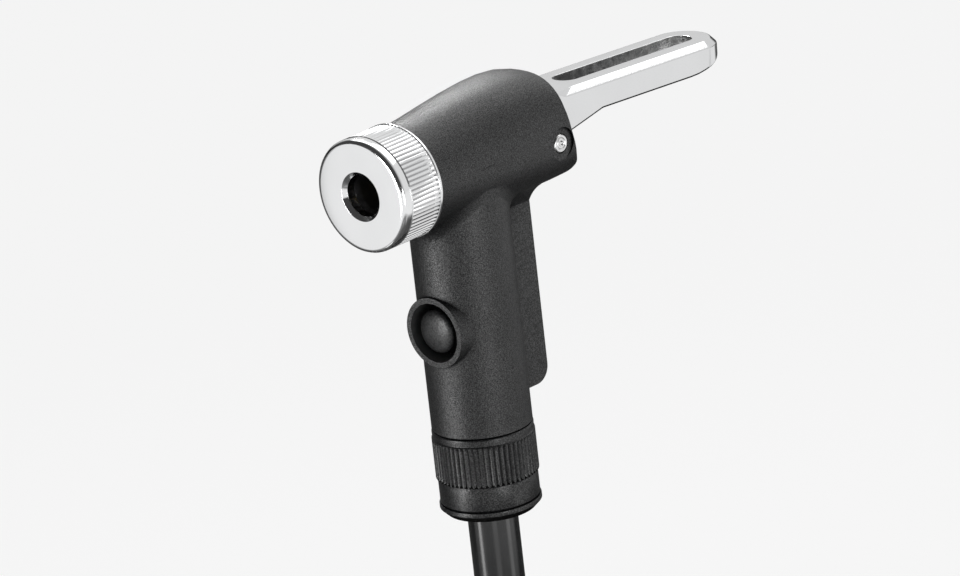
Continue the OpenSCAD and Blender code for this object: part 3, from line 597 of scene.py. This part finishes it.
GRIP_AXIS = (0, GRIP_Y, 0)
UNION_TOP, UNION_END, SLEEVE_END = -57.5, -68.0, -73.2
UNION_R, SLEEVE_R, JOINT_R = 10.75, 10.4, 8.6
UNION_BORE, UNION_LIP, UNION_SEAT, RIB_TOP = 8.4, 6.9, -65.8, -59.3
UNION_RIBS, RIB_WAVE = 60, (1, 0.6, 0.06, 0, 0.06, 0.6)


def make_union_nut():
    """Ribbed nut. The faces where its ribs run out at the lower end are painted dark, a painted
    shade that keeps them from catching light.
    """
    outline = rounded([
        (UNION_LIP, UNION_END, 0), (JOINT_R, UNION_END, 0), (UNION_R - 0.1, UNION_END, 0)])
    outline += straight(UNION_R, UNION_END + 0.1, UNION_END + 0.3, UNION_END + 0.5,
                        RIB_TOP - 0.7, RIB_TOP - 0.4)
    outline += rounded([
        (UNION_R, RIB_TOP, 0), (UNION_R - 0.22, RIB_TOP + 0.25, 0.15),
        (UNION_R - 0.12, UNION_TOP, 0.45), (UNION_BORE, UNION_TOP, 0.1),
        (UNION_BORE, UNION_SEAT, 0), (UNION_LIP, UNION_SEAT, 0)])
    bm = turned(outline, UNION_RIBS * len(RIB_WAVE))
    cut_grooves(bm, UNION_RIBS, RIB_WAVE, low=UNION_END + 0.02, high=RIB_TOP + 0.05, deep=0.3,
                run_in=0.35, run_out=0.35, radius=UNION_R - 0.12)
    # painted shade: the run-out faces near the lower end get the near black finish
    for face in bm.faces:
        near_end = face.calc_center_median().z < UNION_END + 0.45
        face.material_index = int(near_end and abs(face.normal.z) > 0.2)
    piece("union_nut_ribbed", stand(bm, "Z", GRIP_AXIS), (COLLAR, SHADE_BLACK), "head",
          "union_nut", sharp=30)


def make_collar_rings():
    """Smooth sleeve, the rounded cap below it with its downward faces painted dark as painted
    shade, and the hose's root in the cap.
    """
    sleeve = rounded([
        (JOINT_R + 0.05, UNION_END, 0), (SLEEVE_R, UNION_END, 0.1), (SLEEVE_R, SLEEVE_END, 0.12),
        (JOINT_R + 0.05, SLEEVE_END, 0)], 3)
    piece("hose_sleeve_smooth", stand(turned(sleeve, 96), "Z", GRIP_AXIS), (COLLAR,), "head",
          "hose_sleeve")
    hole, neck, lip = 5.4, SLEEVE_R - 0.3, SLEEVE_R + 0.25
    bm = turned(rounded([
        (hole, SLEEVE_END + 1.8, 0), (JOINT_R, SLEEVE_END + 1.8, 0), (JOINT_R, SLEEVE_END, 0),
        (neck, SLEEVE_END, 0), (neck, SLEEVE_END - 0.3, 0), (lip, SLEEVE_END - 0.3, 0.15),
        (lip, CAP_END + 1.35, 0.15), (9.3, CAP_END, 0.2), (hole, CAP_END, 0.1)]), 96)
    # painted shade: the cap's downward faces get the near black finish
    for face in bm.faces:
        face.material_index = int(face.normal.z < -0.5)
    piece("end_cap_rounded", stand(bm, "Z", GRIP_AXIS), (COLLAR, SHADE_BLACK), "head",
          "end_cap")
    bore, skin, top = 3.1, HOSE_D / 2, UNION_END + 0.6
    root = rounded([
        (bore, CAP_END, 0), (skin, CAP_END, 0), (skin, top, 0.2), (bore, top, 0.2)], 3)
    piece("hose_root_tube", stand(turned(root, 48), "Z", GRIP_AXIS), (HOSE,), "head",
          "hose_root")


# ---------------------------------------------------------------- moulded housing and cast lever

TOUCH = 0.1
SLOT_W, SLOT_NEAR, SLOT_FAR = 5.8, 12.0, 53.9
LEVER_ROUND, EDGE_SHADE_W = 0.34, 0.18
SIDE_AREA, EDGE_AREA = 60, 18  # in square millimetres: a side is larger, a rounding smaller


def merged_copy(node):
    """The solid's own mesh, with its loose triangles joined."""
    bm = bmesh.new()
    bm.from_mesh(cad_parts[node].data)
    bmesh.ops.remove_doubles(bm, verts=bm.verts, dist=0.001 * MM)
    return bm


def even_shading(made):
    """Keeps broad faces flat to the light, and bends it only on the roundings."""
    made.modifiers.new("even_shading", "WEIGHTED_NORMAL").keep_sharp = True


def well_part(face):
    """1 for the floor of the button's well, which gets painted shade, 2 for the smooth wall round
    it, which gets painted light, 0 for the rest.
    """
    middle = face.calc_center_median() / MM
    inward = Vector((-middle.x, 0, BUTTON_Z - middle.z))
    if inward.length > WELL_R + TOUCH or middle.y > WELL_FLOOR + TOUCH:
        return 0
    if face.normal.y < -0.9:
        return int(abs(middle.y - WELL_FLOOR) < TOUCH)
    return 2 * int(face.normal.dot(inward.normalized()) > 0.9)


def make_housing():
    """Moulded housing, with painted shade on the floor of the button's well and painted light on
    its wall.
    """
    bm = merged_copy("housing")
    for face in bm.faces:
        face.material_index = well_part(face)
    housing = piece("housing_moulded", bm, (MOULDING, SHADE_BLACK, LIT_WALL), "head", "housing",
                    sharp=20)
    even_shading(housing)


def in_slot(face):
    """Walls of the lever's slot, which stay as cast."""
    middle = face.calc_center_median() / MM
    between = abs(middle.x) < SLOT_W / 2 + 0.02 and SLOT_NEAR < middle.y - PIN_Y < SLOT_FAR
    return between and abs(face.normal.z) < 0.3


def on_side(face):
    """The lever's two broad outer sides."""
    outside = abs(face.calc_center_median().x) > SLOT_W * MM
    return outside and abs(face.normal.x) > 0.99 and face.calc_area() > SIDE_AREA * MM * MM


def on_lower_edge(face):
    """The narrow rounding between the lever's sides and its underside, which gets a painted dark
    line.
    """
    return (abs(face.normal.x) > 0.3 and face.normal.z < -0.12
            and face.calc_area() < EDGE_AREA * MM * MM)


def make_lever():
    """Polished lever: as cast in its slot, with a painted dark line low on each side that stands
    in for a dark reflection.
    """
    bm = merged_copy("lever")
    bmesh.ops.dissolve_limit(bm, angle_limit=math.radians(1.0), use_dissolve_boundaries=False,
                             verts=bm.verts, edges=bm.edges)
    corners = [edge for edge in bm.edges
               if len(edge.link_faces) == 2 and edge.calc_face_angle(0) > math.radians(24)]
    bmesh.ops.bevel(bm, geom=corners, offset=LEVER_ROUND * MM, offset_type="OFFSET",
                    affect="EDGES", segments=3, profile=0.5, material=-1, clamp_overlap=True)
    bm.normal_update()
    sides = [face for face in bm.faces if on_side(face)]
    rims = bmesh.ops.inset_individual(bm, faces=sides, thickness=EDGE_SHADE_W * MM,
                                      use_even_offset=True)["faces"]
    bm.normal_update()
    # painted shade: the lower rounding and the strip of side beside it get the dark edge metal
    rounding = {face for face in bm.faces if on_lower_edge(face)}
    edge_shade = rounding | {face for face in rims if any(
        near in rounding for edge in face.edges for near in edge.link_faces)}
    for face in bm.faces:
        face.material_index = 2 if face in edge_shade else int(in_slot(face))
    lever = piece("lever_cast", bm, (LEVER, CAST, EDGE_SHADE), "lever_arm", "lever",
                  sharp=50)
    even_shading(lever)


# ---------------------------------------------------------------- springs and strap

RETURN_FRONT, RETURN_BACK, SEAT_GAP = 35.65, 38.3, 0.08
SPRING_SIDES, SPRING_STEPS = 10, 24


def make_spring(name, node, start, end, radius, wire, turns, z=0.0):
    """Open helical spring on a line along y, with its ends laid flat against their seats."""
    steps = round(turns * SPRING_STEPS)
    rise = end - start - 2 * wire
    line = []
    for i in range(steps + 1):
        t = i / steps
        w = 2 * math.pi * turns * t
        line.append(Vector((radius * math.cos(w), start + wire + rise * ease(t),
                            z + radius * math.sin(w))) * MM)
    spring = tube_along(name, line, wire * MM, SPRING_SIDES, (SPRING,))
    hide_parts(node)
    return spring


def make_springs():
    """Open springs: the return spring for the plunger, and the other one for the button."""
    back = make_spring("plunger_spring_wire", "plunger_spring", RETURN_FRONT, RETURN_BACK,
                       radius=4.7, wire=0.35, turns=3)
    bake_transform(back)
    button = make_spring("button_spring_wire", "button_spring", SPRING_SEAT + SEAT_GAP,
                         WELL_FLOOR - SEAT_GAP, radius=2.2, wire=0.25, turns=2.5, z=BUTTON_Z)
    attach(button, "head")
    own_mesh(button)


def wrapped_line(centres, radius, parts=8):
    """Closed line at the radius round the given middles, going round the outside of them all."""
    line = []
    count = len(centres)
    for i, middle in enumerate(centres):
        before, after = middle - centres[i - 1], centres[(i + 1) % count] - middle
        first, last = math.atan2(-before.x, before.y), math.atan2(-after.x, after.y)
        while last < first:
            last += 2 * math.pi
        for k in range(parts + 1):
            w = first + (last - first) * k / parts
            line.append(middle + radius * Vector((math.cos(w), math.sin(w))))
    return line


LAP_START, LAP_END = 21, 26


def make_strap():
    """Woven strap drawn round three turns of the coil, its end lapped over itself."""
    turns = [Vector((turn_r(STRAP_PLACE + k), turn_z(STRAP_PLACE + k))) for k in (1, 0, 2)]
    line = wrapped_line(turns, HOSE_D / 2 + STRAP_REACH)
    over = wrapped_line(turns, HOSE_D / 2 + STRAP_REACH + STRAP_THICK)
    path = line[LAP_START:] + line[:LAP_START] + over[LAP_START - 1:LAP_END]
    bm = bmesh.new()
    row = [bm.verts.new((p.x, p.y, -STRAP_WIDTH / 2)) for p in path]
    edges = [bm.edges.new(pair) for pair in zip(row, row[1:])]
    made = bmesh.ops.extrude_edge_only(bm, edges=edges)["geom"]
    far_row = [g for g in made if isinstance(g, bmesh.types.BMVert)]
    bmesh.ops.translate(bm, verts=far_row, vec=(0, 0, STRAP_WIDTH))
    bmesh.ops.recalc_face_normals(bm, faces=bm.faces)
    bmesh.ops.solidify(bm, geom=bm.faces[:], thickness=STRAP_THICK)
    bmesh.ops.recalc_face_normals(bm, faces=bm.faces)
    place = (Matrix.Translation(COIL_MID) @ Matrix.Rotation(turn_angle(STRAP_PLACE), 4, "Z")
             @ Matrix.Rotation(math.pi / 2, 4, "X"))
    bmesh.ops.transform(bm, verts=bm.verts, matrix=Matrix.Scale(MM, 4) @ place)
    strap = piece("coil_strap_woven", bm, (STRAP,), "head", "coil_tie", sharp=50)
    soft = strap.modifiers.new("soft_edges", "BEVEL")
    soft.width = 0.2 * MM
    soft.segments = 2


make_valve_nut()
make_grommet()
make_pin()
make_button()
make_union_nut()
make_collar_rings()
make_housing()
make_lever()
make_strap()
make_springs()


# ---------------------------------------------------------------- studio

LEFT_X, LEFT_Y = -0.743, 0.669  # the level way that points behind the work and to its left
UNDER_X, UNDER_Y, UNDER_MID = 0.16, 0.24, 0.1  # painted shadow under the work, as metal sees the floor, in metres
FLOOR_REACH = 6  # in metres
PAPER, FLOOR_GLOW, GLOW_SHARE = grey(0.8), grey(0.965), 0.88
BACKDROP, FILL = grey(0.913), grey(0.26)


def seen_rays(tree):
    """One for rays from the camera and for those that metal and glass send on, else nothing."""
    path = add(tree, "ShaderNodeLightPath").outputs
    seen = worked(tree, "MAXIMUM", path["Is Camera Ray"], path["Is Glossy Ray"])
    return worked(tree, "MAXIMUM", seen, path["Is Transmission Ray"])


def to_back_left(tree, x, y):
    """How far x and y go behind the work and to its left."""
    return worked(tree, "ADD", product(tree, x, LEFT_X), product(tree, y, LEFT_Y))


def mixed(tree, share, first, second):
    """Mix of two shaders, where share is how much is the second."""
    node = add(tree, "ShaderNodeMixShader")
    for socket, value in zip(node.inputs, (share, first.outputs[0], second.outputs[0])):
        feed(tree, socket, value)
    return node


def painted_floor_shade(tree):
    """How brightly metal sees the floor: a painted shadow close to and under the work, and
    painted dark behind it to its left.

    Straight behind the work the floor stays pale, so that the lever's tip shines.
    """
    x, y, _ = split(tree, add(tree, "ShaderNodeTexCoord").outputs["Object"])
    squares = worked(tree, "ADD", product(tree, x, x), product(tree, y, y))
    far = worked(tree, "SQRT", squares)
    not_zero = worked(tree, "MAXIMUM", far, 0.001)
    leftward = worked(tree, "DIVIDE", to_back_left(tree, x, y), not_zero)
    backward = worked(tree, "DIVIDE", y, not_zero)
    straight_back = product(tree, ramp(tree, far, 0.35, 0.45, 0.0, 1.0),
                            ramp(tree, backward, 0.8, 0.88, 0.0, 1.0))
    straight_back = product(tree, straight_back, ramp(tree, leftward, 0.6, 0.72, 1.0, 0.0))
    # painted dark: metal sees the floor dark behind the work to its left
    behind = worked(tree, "MAXIMUM", ramp(tree, leftward, 0.13, 0.33, 1.0, 0.05), straight_back)
    across = worked(tree, "ABSOLUTE", worked(tree, "DIVIDE", x, UNDER_X))
    off_middle = worked(tree, "SUBTRACT", y, UNDER_MID)
    along = worked(tree, "ABSOLUTE", worked(tree, "DIVIDE", off_middle, UNDER_Y))
    off_patch = worked(tree, "ADD", worked(tree, "POWER", across, 2.0),
                       worked(tree, "POWER", along, 2.0))
    # painted shadow: metal sees the floor dimmed under the work and close to it
    under = ramp(tree, off_patch, 0.5, 1.4, 0.12, 1.0)
    close = ramp(tree, far, 0.21, 0.27, 0.2, 1.0)
    return product(tree, product(tree, behind, under), close)


def make_floor():
    """Pale paper under the coil. It glows for the camera, and in metal it shows painted shadow
    and painted dark where metal is to be dark.
    """
    bm = bmesh.new()
    bmesh.ops.create_grid(bm, x_segments=1, y_segments=1, size=FLOOR_REACH)
    bmesh.ops.translate(bm, verts=bm.verts, vec=(0, 0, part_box("coil_tie")[0].z))
    material = bpy.data.materials.new("pale_floor")
    material.use_nodes = True
    tree = material.node_tree
    tree.nodes.clear()
    path = add(tree, "ShaderNodeLightPath").outputs
    gloss = worked(tree, "SUBTRACT", path["Is Glossy Ray"], path["Is Camera Ray"])
    gloss = worked(tree, "MAXIMUM", gloss, 0.0)
    darkened = product(tree, gloss, worked(tree, "SUBTRACT", 1.0, painted_floor_shade(tree)))
    paper = add(tree, "ShaderNodeBsdfDiffuse", Color=PAPER)
    glow = add(tree, "ShaderNodeEmission", Color=FLOOR_GLOW,
               Strength=worked(tree, "SUBTRACT", 1.0, darkened))
    both = mixed(tree, product(tree, seen_rays(tree), GLOW_SHARE), paper, glow)
    add(tree, "ShaderNodeOutputMaterial", Surface=both.outputs[0])
    object_from("floor", bm, (material,))


def make_world():
    """White studio that metal sees dark in front and pale behind, with an even fill."""
    world = bpy.data.worlds.new("studio")
    world.use_nodes = True
    SCENE.world = world
    tree = world.node_tree
    tree.nodes.clear()
    x, y, z = split(tree, add(tree, "ShaderNodeTexCoord").outputs["Generated"])
    low_behind = product(tree, ramp(tree, to_back_left(tree, x, y), 0.13, 0.4, 0.0, 1.0),
                         ramp(tree, z, 0.05, 0.2, 0.9, 0.0))
    pale = ramp(tree, y, -0.15, 0.5, 0.05, 0.78)
    reflected = add(tree, "ShaderNodeBackground", Color=grey(1), Strength=product(
        tree, pale, worked(tree, "SUBTRACT", 1.0, low_behind)))
    fill = add(tree, "ShaderNodeBackground", Color=FILL, Strength=1.0)
    plain = add(tree, "ShaderNodeBackground", Color=BACKDROP, Strength=1.0)
    path = add(tree, "ShaderNodeLightPath").outputs
    unseen = mixed(tree, seen_rays(tree), fill, reflected)
    whole = mixed(tree, path["Is Camera Ray"], unseen, plain)
    add(tree, "ShaderNodeOutputWorld", Surface=whole.outputs[0])


def softbox(name, place, aim, size, brightness, turn=0.0, spread=180.0):
    """Flat lamp, unseen itself, whose face looks brightness times white from straight ahead."""
    data = bpy.data.lights.new(name, "AREA")
    data.shape = "RECTANGLE"
    data.size, data.size_y = size
    half = math.radians(spread) / 2
    data.spread = 2 * half
    data.energy = brightness * math.pi * size[0] * size[1] * (1 - half / math.tan(half))
    lamp = bpy.data.objects.new(name, data)
    SCENE.collection.objects.link(lamp)
    facing = (Vector(aim) - Vector(place)).to_track_quat("-Z", "Y").to_matrix().to_4x4()
    about = Matrix.Rotation(math.radians(turn), 4, "Z")
    lamp.matrix_world = Matrix.Translation(place) @ facing @ about
    lamp.visible_camera = False


AT_HEAD, AT_HEAD_LOW, AT_GRIP = (0, 0.03, 0), (0, 0.03, -0.02), (0, 0.02, -0.03)
AT_HOSE = (0, 0.0265, -0.1)
LAMPS = (  # name, place, aim and size in metres, brightness, spread in degrees
    ("rim_behind", (-0.66, 0.49, 0.68), AT_HEAD, (0.22, 0.18), 60.0, 50),
    ("key_low_left", (-0.14, -0.43, -0.06), AT_GRIP, (0.13, 0.2), 14.0, 80),
    ("fill_right", (0.5, -0.1, -0.05), AT_HEAD_LOW, (0.16, 0.22), 6.0, 70),
    ("hose_left", (-0.047, -0.084, -0.135), AT_HOSE, (0.03, 0.06), 3.9, 80),
    ("hose_front", (0.089, -0.054, -0.135), AT_HOSE, (0.045, 0.06), 0.6, 80),
    ("hose_right", (0.113, 0.07, -0.135), AT_HOSE, (0.04, 0.06), 0.95, 80))

make_floor()
make_world()
softbox("window_behind", (-0.3, 0.6, 1.0), (-0.3, 0.6, 0), (2.0, 0.75), 1.4, turn=32)
for name, place, aim, size, brightness, spread in LAMPS:
    softbox(name, place, aim, size, brightness, spread=spread)

SCENE.view_settings.view_transform = "Standard"
